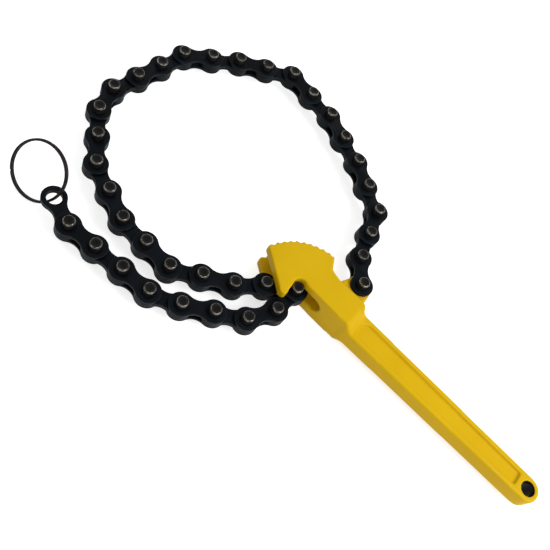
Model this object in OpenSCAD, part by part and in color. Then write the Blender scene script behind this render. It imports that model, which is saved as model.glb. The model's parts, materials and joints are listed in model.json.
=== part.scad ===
// Chain pipe wrench: a forged handle with a forked, toothed jaw, a leaf chain pinned to
// the handle's ear and hooked over the jaw, and a split ring in the chain's free end.
// Sizes are millimetres. X runs along the handle towards the hang hole, Z is the axis of
// every pin, z = 0 is the middle plane, and the origin is the centre of the hang hole.

/* [Chain] */
// Distance between neighbouring pins
pitch = 12.7; // [11.5:0.1:14]
// Diameter of the link pins
pin_d = 4.7; // [4:0.1:5.2]
// Length of pin that stands out of each outer plate
pin_proud = 2.9; // [2:0.1:4]
// Thickness of one link plate
plate_t = 1.2; // [1:0.05:1.6]
// Space between the round ends of plates that follow each other
end_gap = 2.8; // [2.4:0.1:4]
// Waist of a plate as a share of its height
waist_share = 0.6; // [0.5:0.05:0.8]
// Side play between plates that turn on each other
side_play = 0.15; // [0.1:0.05:0.3]
// Radial play of a pin in the plates that turn on it
pin_play = 0.1; // [0.08:0.01:0.15]

/* [Split ring] */
// Outer diameter of the ring
ring_d = 24; // [18:1:28]
// Thickness of the ring's wire
ring_wire = 1; // [0.8:0.1:1.2]
// Diameter of the hole that carries the ring
ring_hole_d = 6; // [5.6:0.1:6.6]
// Roll of the ring from lying flat
ring_roll = 50; // [46:1:90]
// Rise of the ring away from the chain
ring_rise = 15; // [0:1:30]
// Turn of the ring from the line of the last link
ring_turn = 8; // [-30:1:30]

/* [Handle] */
// Centre of the hang hole to the foot of the neck
grip_l = 90; // [75:1:120]
// Width of the grip at the neck
grip_w = 12.4; // [11.5:0.1:14]
// Width of the grip at the hang hole
end_w = 10.4; // [9:0.1:12]
// Thickness of the grip
grip_t = 8.6; // [7:0.1:10]
// Diameter of the hang hole
hang_d = 6; // [5:0.1:7]
// Depth of the pocket in each face of the grip
pocket_deep = 1.2; // [0.5:0.1:2]
// Width of the rim beside the pocket
rim_w = 2.4; // [1.6:0.1:3]

/* [Head] */
// Thickness of the head across both prongs
head_t = 16; // [14:0.5:20]
// Play between the chain and each prong
slot_play = 0.9; // [0.5:0.1:1.2]
// Radius of the toothed edge over the tips
jaw_r = 24.6; // [23.5:0.1:26]
// Number of teeth on each prong
teeth = 10; // [8:1:11]
// Depth of a tooth
tooth_deep = 1.1; // [0.6:0.1:1.5]
// Play of the hooked pin in its seat
seat_play = 0.3; // [0.2:0.05:0.5]
// Wall of the ear round its pin
ear_wall = 3.0; // [2.6:0.1:3.6]

/* [Hidden] */
$fn = 48;
fit_gap = 0.02;
cut = 50;

// How the chain lies, in straight stretches set by hand: how many links, and which way they
// point in degrees. The loop runs from the ear to the hook, the tail from the hook to the ring.
loop_lay = [[1, 130], [2, 110], [2, 150], [2, 160], [2, 175], [2, 220], [2, 230], [3, 265],
            [1, 290], [2, 315], [2, 340], [2, 360], [2, 395], [1, 410], [1, 400]];
tail_lay = [[1, -90], [1, -115], [2, -145], [1, -155], [3, -175], [1, -200]];
function links_in(lay, i = 0) = i == len(lay) ? 0 : lay[i][0] + links_in(lay, i + 1);
function way_of(lay, k, i = 0) = k > lay[i][0] ? way_of(lay, k - lay[i][0], i + 1) : lay[i][1];
loop_links = links_in(loop_lay);
links = loop_links + links_in(tail_lay);

// Link plates and pins
plate_h = pitch - end_gap;
end_r = plate_h / 2;
waist = plate_h * waist_share;
waist_r = (pow(pitch / 2, 2) + pow(waist / 2, 2) - pow(end_r, 2)) / (plate_h - waist);
waist_x = pitch / 2 * waist_r / (end_r + waist_r);
waist_y = end_r * (waist / 2 + waist_r) / (end_r + waist_r);
inner_top = fit_gap + plate_t;
outer_low = inner_top + side_play;
outer_top = outer_low + plate_t;
pin_half = outer_top + pin_proud;
pin_bore = pin_d + 2 * pin_play;

// Places on the head, measured from the foot of the neck
foot = [-grip_l, 0];
ear = foot + [-9.8, 16.8];
hook = foot + [-27.4, -6.9];
jaw_c = foot + [-23.4, -10.5];
slot_half = outer_top + slot_play;
slot_end = foot[0] - 15.5;
neck_ramp = head_t / 2 - grip_t / 2;
ear_r = pin_d / 2 + ear_wall;
ear_half = inner_top - fit_gap;
seat_r = pin_d / 2 + seat_play;
seat_way = -80;
nose_r = 0.16 * pitch;
nose_tip = hook + [-0.25, -0.52] * pitch;
jaw_left = jaw_c + jaw_r * [cos(165), sin(165)];
jaw_right = jaw_c + [-2.3, jaw_r];
first_gap = 158.4;
last_gap = 97.6;
tooth_step = (first_gap - last_gap) / (teeth - 1);

// The loop closes on the hook: one small extra bend, the same at every pin of the loop, is
// found so that its two ends lie as far apart as the ear and the hook, and then it is turned.
function free_heading(k, extra) = way_of(loop_lay, k) + (k - 1) * extra;
function step(a) = pitch * [cos(a), sin(a)];
function free_pin(k, extra) = k < 2 ? [0, 0] : free_pin(k - 1, extra) + step(free_heading(k - 1, extra));
function closing(low, high, n) =
    let (mid = (low + high) / 2)
    n == 0 ? mid
    : norm(free_pin(loop_links + 1, mid)) > norm(hook - ear) ? closing(mid, high, n - 1)
    : closing(low, mid, n - 1);
extra_bend = closing(-2.5, 2.5, 40);
free_end = free_pin(loop_links + 1, extra_bend);
loop_turn = atan2(hook[1] - ear[1], hook[0] - ear[0]) - atan2(free_end[1], free_end[0]);
function heading(k) =
    k > loop_links ? way_of(tail_lay, k - loop_links)
    : loop_turn + free_heading(k, extra_bend);
function pin(k) = k < 2 ? ear : pin(k - 1) + step(heading(k - 1));
ring_at = pin(links + 1);

// Names: odd links are outer ones and carry the pins, even links are inner ones
function two(k) = k < 10 ? str("0", k) : str(k);
function plates_name(k) = str("link_", two(k), "_plates");
function pins_name(k) = str("link_", two(k), "_pins");
function is_outer(k) = k % 2 == 1;

// Handle
module grip_outline() {
    polygon([[0, end_w / 2], [-grip_l - neck_ramp, grip_w / 2],
             [-grip_l - neck_ramp, -grip_w / 2], [0, -end_w / 2]]);
    circle(d = end_w);
}

module pocket_outline() {
    start_r = grip_w / 2 - rim_w;
    start = [-grip_l + start_r + 0.6, 0];
    stop = -hang_d / 2 - rim_w;
    translate(start)
        circle(r = start_r);
    polygon([start + [0, start_r], start - [0, start_r],
             [stop, rim_w - end_w / 2], [stop, end_w / 2 - rim_w]]);
}

module grip() {
    difference() {
        translate([0, 0, -grip_t / 2])
            linear_extrude(grip_t)
                grip_outline();
        for (side = [0, 1])
            mirror([0, 0, side])
                translate([0, 0, grip_t / 2 - pocket_deep])
                    linear_extrude(cut)
                        pocket_outline();
    }
}

module tooth_gaps() {
    translate(jaw_c)
        for (i = [0:teeth - 1])
            rotate(first_gap - i * tooth_step)
                polygon([[jaw_r + 0.1, -jaw_r * sin(tooth_step / 2)],
                         [jaw_r - tooth_deep, 0],
                         [jaw_r + 0.1, jaw_r * sin(tooth_step / 2)]]);
}

module hook_seat() {
    half = seat_r - 0.05;
    translate(hook) {
        circle(r = seat_r);
        rotate(seat_way)
            translate([0, -half])
                square([pitch, 2 * half]);
    }
}

module head_outline() {
    side = grip_w / 2;
    difference() {
        union() {
            intersection() {
                translate(jaw_c)
                    circle(r = jaw_r, $fn = 96);
                polygon([jaw_left, jaw_left + [-4, 8], jaw_right + [-14, 4], jaw_right,
                         foot + [-22.3, 8.5], foot + [-22.3, -2.7], hook, nose_tip]);
            }
            polygon([foot + [-22.4, 8.5], foot + [-17.7, 7.4], foot + [0, side],
                     foot + [0, -side], foot + [-4, -side + 0.6], foot + [-25.2, -5],
                     foot + [-25.2, 0]]);
            polygon([jaw_left, jaw_left + [8, 4], hook, nose_tip,
                     nose_tip + 0.9 * nose_r * [-0.56, -0.83]]);
            translate(nose_tip)
                circle(r = nose_r);
        }
        hook_seat();
        tooth_gaps();
    }
}

module head_side() {
    top = head_t / 2;
    low = grip_t / 2;
    polygon([[-grip_l, low], [-grip_l - neck_ramp, top], [-grip_l - cut - 10, top],
             [-grip_l - cut - 10, -top], [-grip_l - neck_ramp, -top], [-grip_l, -low]]);
}

module head() {
    difference() {
        intersection() {
            translate([0, 0, -head_t / 2])
                linear_extrude(head_t)
                    head_outline();
            rotate([90, 0, 0])
                translate([0, 0, -cut])
                    linear_extrude(2 * cut)
                        head_side();
        }
        translate([slot_end - slot_half - cut, -cut, -slot_half])
            cube([cut, 2 * cut, 2 * slot_half]);
        translate([slot_end - slot_half, -cut, 0])
            rotate([-90, 0, 0])
                cylinder(r = slot_half, h = 2 * cut);
    }
}

module ear_outline() {
    translate(ear)
        circle(r = ear_r);
    polygon([ear + [-ear_r, 0], foot + [-17.7, 10.5], [slot_end, 9], [slot_end, 4],
             foot + [-2, 4], foot + [-3.4, 8.5], ear + [ear_r, 0]]);
}

module ear_root() {
    root = 7;
    rise = ear[1] - end_r - 0.6;
    polygon([[0, head_t / 2], [root, head_t / 2], [rise, ear_half + plate_t], [rise, ear_half],
             [cut, ear_half], [cut, -ear_half], [rise, -ear_half], [rise, -ear_half - plate_t],
             [root, -head_t / 2], [0, -head_t / 2]]);
}

module ear_lug() {
    intersection() {
        translate([0, 0, -head_t / 2])
            linear_extrude(head_t)
                ear_outline();
        rotate([90, 0, 90])
            translate([0, 0, -2 * grip_l])
                linear_extrude(2 * grip_l)
                    ear_root();
    }
}

module handle() {
    color("#dcb414")
    difference() {
        union() {
            grip();
            head();
            ear_lug();
        }
        cylinder(d = hang_d, h = cut, center = true);
        translate(ear)
            cylinder(d = pin_bore, h = cut, center = true);
    }
}

// Chain links
module at_link(k) {
    translate(pin(k))
        rotate(heading(k))
            children();
}

module plate(near_d, far_d) {
    linear_extrude(plate_t)
        difference() {
            union() {
                circle(r = end_r);
                translate([pitch, 0])
                    circle(r = end_r);
                translate([pitch / 2, 0])
                    square([2 * waist_x, 2 * waist_y], center = true);
            }
            for (side = [-1, 1])
                translate([pitch / 2, side * (waist / 2 + waist_r)])
                    circle(r = waist_r);
            circle(d = near_d);
            translate([pitch, 0])
                circle(d = far_d);
        }
}

module link_plates(k) {
    press = pin_d + 2 * fit_gap;
    color("#23282c")
    at_link(k)
        for (side = [0, 1])
            mirror([0, 0, side])
                if (is_outer(k))
                    translate([0, 0, outer_low])
                        plate(press, press);
                else
                    translate([0, 0, fit_gap])
                        plate(pin_bore, k == links ? ring_hole_d : pin_bore);
}

module link_pin() {
    rim = pin_d / 2;
    bevel = 0.35;
    dish = 0.55 * rim;
    rotate_extrude()
        polygon([[0, bevel - pin_half], [dish, -pin_half], [rim - bevel, -pin_half],
                 [rim, bevel - pin_half], [rim, pin_half - bevel], [rim - bevel, pin_half],
                 [dish, pin_half], [0, pin_half - bevel]]);
}

module link_pins(k) {
    color("#6e655c")
    at_link(k) {
        link_pin();
        translate([pitch, 0, 0])
            link_pin();
    }
}

// Split ring: two turns of wire side by side, each with an open end
module ring_turn_of_wire() {
    rotate_extrude($fn = 96)
        translate([(ring_d - ring_wire) / 2, 0])
            circle(d = ring_wire);
}

module split_ring() {
    mean_r = (ring_d - ring_wire) / 2;
    lift = 0.45 * ring_wire;
    color("#4a443e")
    translate([ring_at[0], ring_at[1], 0])
        rotate([0, 0, heading(links) + ring_turn])
            rotate([-ring_roll, -ring_rise, 0])
                translate([mean_r, 0, 0])
                    difference() {
                        for (side = [-1, 1])
                            translate([0, 0, side * lift])
                                ring_turn_of_wire();
                        for (end = [[1, 60], [-1, -60]])
                            rotate(end[1])
                                translate([mean_r, 0, end[0] * ring_wire])
                                    cube([3, 0.8, 2 * ring_wire - 0.6], center = true);
                    }
}

handle();
for (k = [1:links])
    link_plates(k);
for (k = [1:2:links])
    link_pins(k);
split_ring();
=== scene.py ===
import json
import math

import bmesh
import bpy
from mathutils import Matrix, Vector


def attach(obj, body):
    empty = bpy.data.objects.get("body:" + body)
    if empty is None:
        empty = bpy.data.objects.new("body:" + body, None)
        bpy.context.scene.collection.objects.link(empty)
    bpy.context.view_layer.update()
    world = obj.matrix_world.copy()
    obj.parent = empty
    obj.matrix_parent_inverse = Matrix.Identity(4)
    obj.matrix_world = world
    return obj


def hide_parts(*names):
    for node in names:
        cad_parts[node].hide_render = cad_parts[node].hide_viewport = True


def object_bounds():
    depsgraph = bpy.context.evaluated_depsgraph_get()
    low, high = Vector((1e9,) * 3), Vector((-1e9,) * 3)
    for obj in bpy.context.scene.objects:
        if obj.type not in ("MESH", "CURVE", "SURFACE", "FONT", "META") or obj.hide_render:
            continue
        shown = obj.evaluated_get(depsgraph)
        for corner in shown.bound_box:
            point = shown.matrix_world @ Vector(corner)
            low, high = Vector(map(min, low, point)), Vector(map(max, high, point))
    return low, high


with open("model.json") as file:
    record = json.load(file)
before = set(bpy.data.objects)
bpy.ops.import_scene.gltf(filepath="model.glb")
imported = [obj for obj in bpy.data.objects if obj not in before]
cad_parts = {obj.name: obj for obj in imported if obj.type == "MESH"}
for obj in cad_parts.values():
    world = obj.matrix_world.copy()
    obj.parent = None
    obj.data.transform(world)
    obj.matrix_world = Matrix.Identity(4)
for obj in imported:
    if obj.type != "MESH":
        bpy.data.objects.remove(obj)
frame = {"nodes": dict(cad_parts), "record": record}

# A chain pipe wrench on a white table: a yellow enamelled forging with a toothed fork, a dark
# oiled leaf chain and a split ring. Sizes are metres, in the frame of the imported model.
MM = 0.001
cad_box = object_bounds()
nodes = frame["nodes"]
behaviour = frame["record"]["behaviour"]
body_of_node = {node: body for body, members in behaviour["bodies"].items() for node in members}
pivots = {joint["name"]: Vector(joint["pos_m"]) for joint in behaviour["joints"]}

# Rounds on the edges of the chain and the ring, and the fold past which an edge counts as sharp
PLATE_EDGE = 0.22 * MM
PIN_EDGE = 0.12 * MM
WIRE_EDGE = 0.02 * MM
SHARP = math.radians(35)

# Faces of a pin's dished end: the upright part of their normal lies between these two
DISH_STEEP = 0.9
DISH_FLAT = 0.985

# Softness of the forging: the size of its mesh, and how many times each stretch is smoothed
FORGING_GRAIN = 0.4 * MM
FORGING_ROUNDS = 3
HEAD_ROUNDS = 8
NECK_ROUNDS = 16
RIM_ROUNDS = 12

# Stretches of the forging along x, and the rim round the pocket of the grip, which grows wider
# from the hang hole to the head, in millimetres
HEAD_END = -96.0
NECK_START = -98.0
NECK_END = -89.9
GRIP_HALF = 5.2
GRIP_LENGTH_PER_MM_OF_HALF = 93.7
RIM_WIDTH = 1.5

# Round holes of the forging that stay true when its edges are softened: centre and radius
HANG_HOLE = (Vector((0.0, 0.0)), 3.0 * MM)
EAR_HOLE = (pivots["ear_pivot"].xy, 2.45 * MM)
HOOK_SEAT = (pivots["pin_28_pivot"].xy, 2.65 * MM)

# The wall of the hang hole, which is coloured with painted shade, reaches this far out, and its faces
# stand this upright
HOLE_SHADE_REACH = 3.15 * MM
HOLE_SHADE_UPRIGHT = 0.6

# Colours, as linear red, green and blue
YELLOW_DEEP = (0.69, 0.425, 0.004)
YELLOW_BRIGHT = (0.73, 0.465, 0.006)
# Painted shade: the hang hole's wall is near-black, as where light hardly reaches into the hole
HOLE_PAINTED_SHADE = (0.006, 0.006, 0.004)
PLATE_BLACK = (0.0009, 0.0016, 0.0026)
PLATE_BLUE = (0.0020, 0.0040, 0.0068)
# Paler plate edges: partly rubbed steel and partly a painted highlight
PLATE_EDGE_WEAR_AND_HIGHLIGHT = (0.014, 0.019, 0.023)
PIN_BLACK = (0.006, 0.005, 0.0045)
PIN_BROWN = (0.018, 0.016, 0.014)
# Bright pin rims: partly rubbed steel and partly a painted highlight
PIN_RIM_WEAR_AND_HIGHLIGHT = (0.48, 0.45, 0.41)
PIN_DISH = (0.0025, 0.0022, 0.002)
WIRE_BLACK = (0.006, 0.0045, 0.004)
WIRE_BROWN = (0.020, 0.015, 0.013)
TABLE_WHITE = (0.85, 0.85, 0.85)
PURE_WHITE = (1.0, 1.0, 1.0)

# Light: the even world, the glow of the table in sight, and one square lamp over the grip's end
DAYLIGHT = 0.57
TABLE_GLOW = 0.66
TABLE_HALF = 3.0
TABLE_GAP = 0.05 * MM
TOOL_MIDDLE = Vector((-115.0, 5.0, 0.0)) * MM
KEY_WAY = Vector((0.66, 0.05, 0.75))
KEY_REACH = 0.6
KEY_SIZE = 0.34
KEY_POWER = 2.08

# The photograph's view: the spot on the table that it looks at, how far off it stands, and its
# turn round z from the front, its tilt from straight down and its lean to the side
CAMERA_AIM = Vector((-127.5, -7.2, 0.0)) * MM
CAMERA_REACH = 297.2 * MM
CAMERA_TURN = math.radians(6.4)
CAMERA_TILT = math.radians(31.9)
CAMERA_LEAN = math.radians(38.5)
CAMERA_LENS = 49.3
CAMERA_SENSOR = 36.0
CAMERA_NEAR = 10.0 * MM


# Finishes

def new_finish(name):
    """A node material with one principled shader; returns the material, its tree and the shader."""
    finish = bpy.data.materials.new(name)
    finish.use_nodes = True
    tree = finish.node_tree
    tree.nodes.clear()
    out = tree.nodes.new("ShaderNodeOutputMaterial")
    shader = tree.nodes.new("ShaderNodeBsdfPrincipled")
    tree.links.new(shader.outputs["BSDF"], out.inputs["Surface"])
    return finish, tree, shader


def noise(tree, scale, detail=3.0):
    """Noise on the piece's own place in metres; scale is in waves per metre."""
    place_of_point = tree.nodes.new("ShaderNodeTexCoord")
    node = tree.nodes.new("ShaderNodeTexNoise")
    node.inputs["Scale"].default_value = scale
    node.inputs["Detail"].default_value = detail
    tree.links.new(place_of_point.outputs["Object"], node.inputs["Vector"])
    return node.outputs["Fac"]


def spread(tree, value, low, high, low_out, high_out):
    """Maps a value from one range to another, held at both ends."""
    node = tree.nodes.new("ShaderNodeMapRange")
    node.inputs["From Min"].default_value = low
    node.inputs["From Max"].default_value = high
    node.inputs["To Min"].default_value = low_out
    node.inputs["To Max"].default_value = high_out
    tree.links.new(value, node.inputs["Value"])
    return node.outputs["Result"]


def patches(tree, scale, low, high, blur=0.2):
    """Patches that drift between two values; blur is how gently one goes over into the other."""
    return spread(tree, noise(tree, scale), 0.5 - blur, 0.5 + blur, low, high)


def mix_colour(tree, share, first, second):
    """Mixes two colours, each a colour or a socket, by a share."""
    node = tree.nodes.new("ShaderNodeMix")
    node.data_type = "RGBA"
    tree.links.new(share, node.inputs["Factor"])
    for name, colour in (("A", first), ("B", second)):
        socket = [s for s in node.inputs if s.name == name and s.type == "RGBA"][0]
        if isinstance(colour, tuple):
            socket.default_value = (*colour, 1.0)
        else:
            tree.links.new(colour, socket)
    return [s for s in node.outputs if s.type == "RGBA"][0]


def join_values(tree, operation, first, second):
    """Two values joined by one step of arithmetic, such as MULTIPLY or MAXIMUM."""
    node = tree.nodes.new("ShaderNodeMath")
    node.operation = operation
    tree.links.new(first, node.inputs[0])
    tree.links.new(second, node.inputs[1])
    return node.outputs[0]


def bump(tree, shader, height, strength, depth):
    """Raises the surface by a height pattern; depth is in metres."""
    node = tree.nodes.new("ShaderNodeBump")
    node.inputs["Strength"].default_value = strength
    node.inputs["Distance"].default_value = depth
    tree.links.new(height, node.inputs["Height"])
    tree.links.new(node.outputs["Normal"], shader.inputs["Normal"])


def marked(tree, name):
    """A mark that some faces of a piece carry, 0 to 1."""
    mark = tree.nodes.new("ShaderNodeAttribute")
    mark.attribute_name = name
    return mark.outputs["Fac"]


def edge_wear_and_highlight(tree):
    """The mark of the rounded edges, broken up by fine noise: it carries both wear and a painted
    highlight.
    """
    return join_values(tree, "MULTIPLY", marked(tree, "worn_and_highlit_edge"), patches(tree, 900.0, 0.2, 1.0, 0.15))


def yellow_enamel():
    """Gloss enamel over a forging: a warm yellow with faint drifts and a soft ripple, and painted
    shade, near-black, on the wall of the hang hole."""
    finish, tree, shader = new_finish("yellow_enamel")
    yellow = mix_colour(tree, patches(tree, 60.0, 0.0, 1.0), YELLOW_DEEP, YELLOW_BRIGHT)
    # Painted shade: the wall of the hang hole is coloured near-black
    colour = mix_colour(tree, marked(tree, "hole_painted_shade"), yellow, HOLE_PAINTED_SHADE)
    tree.links.new(colour, shader.inputs["Base Color"])
    tree.links.new(patches(tree, 220.0, 0.30, 0.42), shader.inputs["Roughness"])
    shader.inputs["Specular IOR Level"].default_value = 0.02
    shader.inputs["Coat Weight"].default_value = 0.1
    shader.inputs["Coat Roughness"].default_value = 0.12
    bump(tree, shader, noise(tree, 420.0, 2.0), 0.35, 0.12 * MM)
    return finish


def plate_steel():
    """Blackened plate steel with an oil film: blue-black, with paler edges that are partly rubbed and
    partly a painted highlight.
    """
    finish, tree, shader = new_finish("plate_steel")
    dark = mix_colour(tree, patches(tree, 140.0, 0.0, 1.0, 0.15), PLATE_BLACK, PLATE_BLUE)
    # The plates' edges are paler, partly from wear and partly as a painted highlight
    tree.links.new(mix_colour(tree, edge_wear_and_highlight(tree), dark, PLATE_EDGE_WEAR_AND_HIGHLIGHT), shader.inputs["Base Color"])
    tree.links.new(patches(tree, 300.0, 0.34, 0.52), shader.inputs["Roughness"])
    shader.inputs["Specular IOR Level"].default_value = 0.07
    bump(tree, shader, noise(tree, 1500.0, 4.0), 0.25, 0.05 * MM)
    return finish


def pin_steel():
    """Riveted pin ends: oily brown-black steel, darker in the dished middle, with a bright rim that is
    partly rubbed and partly a painted highlight.
    """
    finish, tree, shader = new_finish("pin_steel")
    # The pin rims are bright, partly from wear and partly as a painted highlight
    rim = edge_wear_and_highlight(tree)
    oily = mix_colour(tree, patches(tree, 500.0, 0.0, 1.0), PIN_BLACK, PIN_BROWN)
    rimmed = mix_colour(tree, rim, oily, PIN_RIM_WEAR_AND_HIGHLIGHT)
    colour = mix_colour(tree, marked(tree, "dished"), rimmed, PIN_DISH)
    tree.links.new(colour, shader.inputs["Base Color"])
    tree.links.new(patches(tree, 700.0, 0.30, 0.46), shader.inputs["Roughness"])
    tree.links.new(rim, shader.inputs["Metallic"])
    shader.inputs["Specular IOR Level"].default_value = 0.1
    bump(tree, shader, noise(tree, 2500.0, 3.0), 0.3, 0.04 * MM)
    return finish


def ring_steel():
    """Spring wire of the split ring, brown-black with faint brown patches."""
    finish, tree, shader = new_finish("ring_steel")
    colour = mix_colour(tree, patches(tree, 600.0, 0.0, 1.0), WIRE_BLACK, WIRE_BROWN)
    tree.links.new(colour, shader.inputs["Base Color"])
    tree.links.new(patches(tree, 900.0, 0.28, 0.42), shader.inputs["Roughness"])
    shader.inputs["Metallic"].default_value = 0.2
    shader.inputs["Specular IOR Level"].default_value = 0.12
    return finish


# Pieces

def merged_copy(node):
    """A node's mesh as a bmesh, with its loose triangles joined and its flat faces made whole."""
    shape = bmesh.new()
    shape.from_mesh(nodes[node].data)
    bmesh.ops.remove_doubles(shape, verts=shape.verts, dist=0.002 * MM)
    bmesh.ops.dissolve_limit(shape, angle_limit=math.radians(0.5), verts=shape.verts, edges=shape.edges)
    return shape


def place(node, mesh, finish):
    """Stands a mesh in for a CAD node, on the node's own body."""
    mesh.materials.clear()
    mesh.materials.append(finish)
    piece = bpy.data.objects.new("dressed_" + node, mesh)
    bpy.context.scene.collection.objects.link(piece)
    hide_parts(node)
    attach(piece, body_of_node[node])


def mark_faces(shape, name, faces):
    """Writes a mark of 1 on the corners of some faces, and 0 on all others."""
    mark = shape.loops.layers.float.new(name)
    for face in faces:
        for corner in face.loops:
            corner[mark] = 1.0


def edged_mesh(node, width):
    """A node's mesh with its sharp edges rounded and marked for wear and painted highlight, and dished
    ends marked too.
    """
    shape = merged_copy(node)
    sharp = [edge for edge in shape.edges if len(edge.link_faces) == 2 and edge.calc_face_angle() > SHARP]
    rounds = bmesh.ops.bevel(shape, geom=sharp, offset=width, offset_type="OFFSET", affect="EDGES",
                             segments=2, profile=0.5, material=-1, clamp_overlap=True)
    # The rounded edges carry a mark for both wear and a painted highlight
    mark_faces(shape, "worn_and_highlit_edge", rounds["faces"])
    mark_faces(shape, "dished", [face for face in shape.faces
                                 if DISH_STEEP < abs(face.normal.z) < DISH_FLAT])
    for face in shape.faces:
        face.smooth = True
    mesh = bpy.data.meshes.new("dressed_" + node)
    shape.to_mesh(mesh)
    shape.free()
    mesh.set_sharp_from_angle(angle=SHARP)
    return mesh


def forging_blank(node):
    """A node's mesh in an even grain, with every edge a little rounded."""
    shape = merged_copy(node)
    rough = bpy.data.meshes.new(node + "_rough")
    shape.to_mesh(rough)
    shape.free()
    blank = bpy.data.objects.new(node + "_blank", rough)
    bpy.context.scene.collection.objects.link(blank)
    grain = blank.modifiers.new("grain", "REMESH")
    grain.mode = "VOXEL"
    grain.voxel_size = FORGING_GRAIN
    rounds = blank.modifiers.new("rounds", "SMOOTH")
    rounds.factor = 0.5
    rounds.iterations = FORGING_ROUNDS
    ready = blank.evaluated_get(bpy.context.evaluated_depsgraph_get())
    mesh = bpy.data.meshes.new_from_object(ready)
    mesh.name = "dressed_" + node
    bpy.data.objects.remove(blank)
    return mesh


def on_head(spot):
    """True on the forked head; the spot is in millimetres, as in the next two."""
    return spot.x < HEAD_END


def on_neck(spot):
    """True on the slope between the head and the grip."""
    return NECK_START < spot.x < NECK_END


def on_rim(spot):
    """True on the outer rim of the grip, outside its pocket and clear of the hang hole."""
    half = GRIP_HALF - spot.x / GRIP_LENGTH_PER_MM_OF_HALF
    reach = abs(spot.y) if spot.x < 0.0 else spot.xy.length
    return spot.x > HEAD_END and reach > half - RIM_WIDTH


def soften(shape, chosen, rounds):
    """Smooths the chosen points of a shape more than the rest."""
    near = [vert for vert in shape.verts if chosen(vert.co / MM)]
    for _ in range(rounds):
        bmesh.ops.smooth_vert(shape, verts=near, factor=0.5,
                              use_axis_x=True, use_axis_y=True, use_axis_z=True)


def true_hole(shape, centre, radius):
    """Pushes the wall of a round hole along z back out to its radius."""
    for vert in shape.verts:
        arm = vert.co.xy - centre
        if 0.0 < arm.length < radius:
            vert.co.xy = centre + arm.normalized() * radius


def in_shaded_hole_wall(face):
    """True on the wall of the hang hole, which is coloured with painted shade."""
    return face.calc_center_median().xy.length < HOLE_SHADE_REACH and abs(face.normal.z) < HOLE_SHADE_UPRIGHT


def forged_mesh(node):
    """A node's mesh with every edge softened, as a die and a coat of enamel leave it."""
    mesh = forging_blank(node)
    shape = bmesh.new()
    shape.from_mesh(mesh)
    soften(shape, on_head, HEAD_ROUNDS)
    soften(shape, on_neck, NECK_ROUNDS)
    soften(shape, on_rim, RIM_ROUNDS)
    for centre, radius in (HANG_HOLE, EAR_HOLE, HOOK_SEAT):
        true_hole(shape, centre, radius)
    # Marks the wall of the hang hole to take painted shade
    mark_faces(shape, "hole_painted_shade", [face for face in shape.faces if in_shaded_hole_wall(face)])
    shape.to_mesh(mesh)
    shape.free()
    mesh.shade_smooth()
    return mesh


enamel = yellow_enamel()
black = plate_steel()
brown = pin_steel()
wire = ring_steel()
place("handle", forged_mesh("handle"), enamel)
for name in sorted(nodes):
    if name.endswith("_plates"):
        place(name, edged_mesh(name, PLATE_EDGE), black)
    elif name.endswith("_pins"):
        place(name, edged_mesh(name, PIN_EDGE), brown)
place("split_ring", edged_mesh("split_ring", WIRE_EDGE), wire)


# Table, light and camera

def in_sight(tree):
    """1 for what the camera sees, straight or in a mirror or glass, and 0 for the light that falls."""
    path = tree.nodes.new("ShaderNodeLightPath")
    seen = path.outputs["Is Camera Ray"]
    for ray in ("Is Glossy Ray", "Is Transmission Ray"):
        seen = join_values(tree, "MAXIMUM", seen, path.outputs[ray])
    return seen


def white_table(low):
    """A wide table top just under the tool, white in sight and with a faint shadow."""
    shape = bmesh.new()
    bmesh.ops.create_grid(shape, x_segments=1, y_segments=1, size=TABLE_HALF)
    bmesh.ops.translate(shape, vec=Vector((TOOL_MIDDLE.x, 0.0, low)), verts=shape.verts)
    mesh = bpy.data.meshes.new("table")
    shape.to_mesh(mesh)
    shape.free()
    finish, tree, shader = new_finish("white_table")
    shader.inputs["Base Color"].default_value = (*TABLE_WHITE, 1.0)
    shader.inputs["Roughness"].default_value = 0.9
    shader.inputs["Specular IOR Level"].default_value = 0.0
    shader.inputs["Emission Color"].default_value = (*PURE_WHITE, 1.0)
    glow = spread(tree, in_sight(tree), 0.0, 1.0, 0.0, TABLE_GLOW)
    tree.links.new(glow, shader.inputs["Emission Strength"])
    mesh.materials.append(finish)
    table = bpy.data.objects.new("table", mesh)
    bpy.context.scene.collection.objects.link(table)


def daylight():
    """An even world that is white in sight and lights the tool at a plain level."""
    world = bpy.data.worlds.new("daylight")
    world.use_nodes = True
    tree = world.node_tree
    sky = tree.nodes["Background"]
    sky.inputs["Color"].default_value = (*PURE_WHITE, 1.0)
    tree.links.new(spread(tree, in_sight(tree), 0.0, 1.0, DAYLIGHT, 1.0), sky.inputs["Strength"])
    bpy.context.scene.world = world


def key_lamp():
    """A square soft lamp beyond the hang hole, facing the tool's middle."""
    lamp = bpy.data.lights.new("key", "AREA")
    lamp.shape = "SQUARE"
    lamp.size = KEY_SIZE
    lamp.energy = KEY_POWER
    stand = bpy.data.objects.new("key", lamp)
    stand.matrix_world = (Matrix.Translation(TOOL_MIDDLE + KEY_WAY.normalized() * KEY_REACH)
                          @ KEY_WAY.to_track_quat("Z", "Y").to_matrix().to_4x4())
    bpy.context.scene.collection.objects.link(stand)


def photo_camera():
    """The camera at the photograph's place, looking down on the tool."""
    lens = bpy.data.cameras.new("photo_camera")
    lens.sensor_width = CAMERA_SENSOR
    lens.lens = CAMERA_LENS
    lens.clip_start = CAMERA_NEAR
    camera = bpy.data.objects.new("photo_camera", lens)
    camera.matrix_world = (Matrix.Translation(CAMERA_AIM) @ Matrix.Rotation(CAMERA_TURN, 4, "Z")
                           @ Matrix.Rotation(CAMERA_TILT, 4, "X") @ Matrix.Rotation(CAMERA_LEAN, 4, "Z")
                           @ Matrix.Translation((0.0, 0.0, CAMERA_REACH)))
    bpy.context.scene.collection.objects.link(camera)
    bpy.context.scene.camera = camera


white_table(cad_box[0][2] - TABLE_GAP)
daylight()
key_lamp()
photo_camera()
bpy.context.scene.view_settings.view_transform = "Standard"
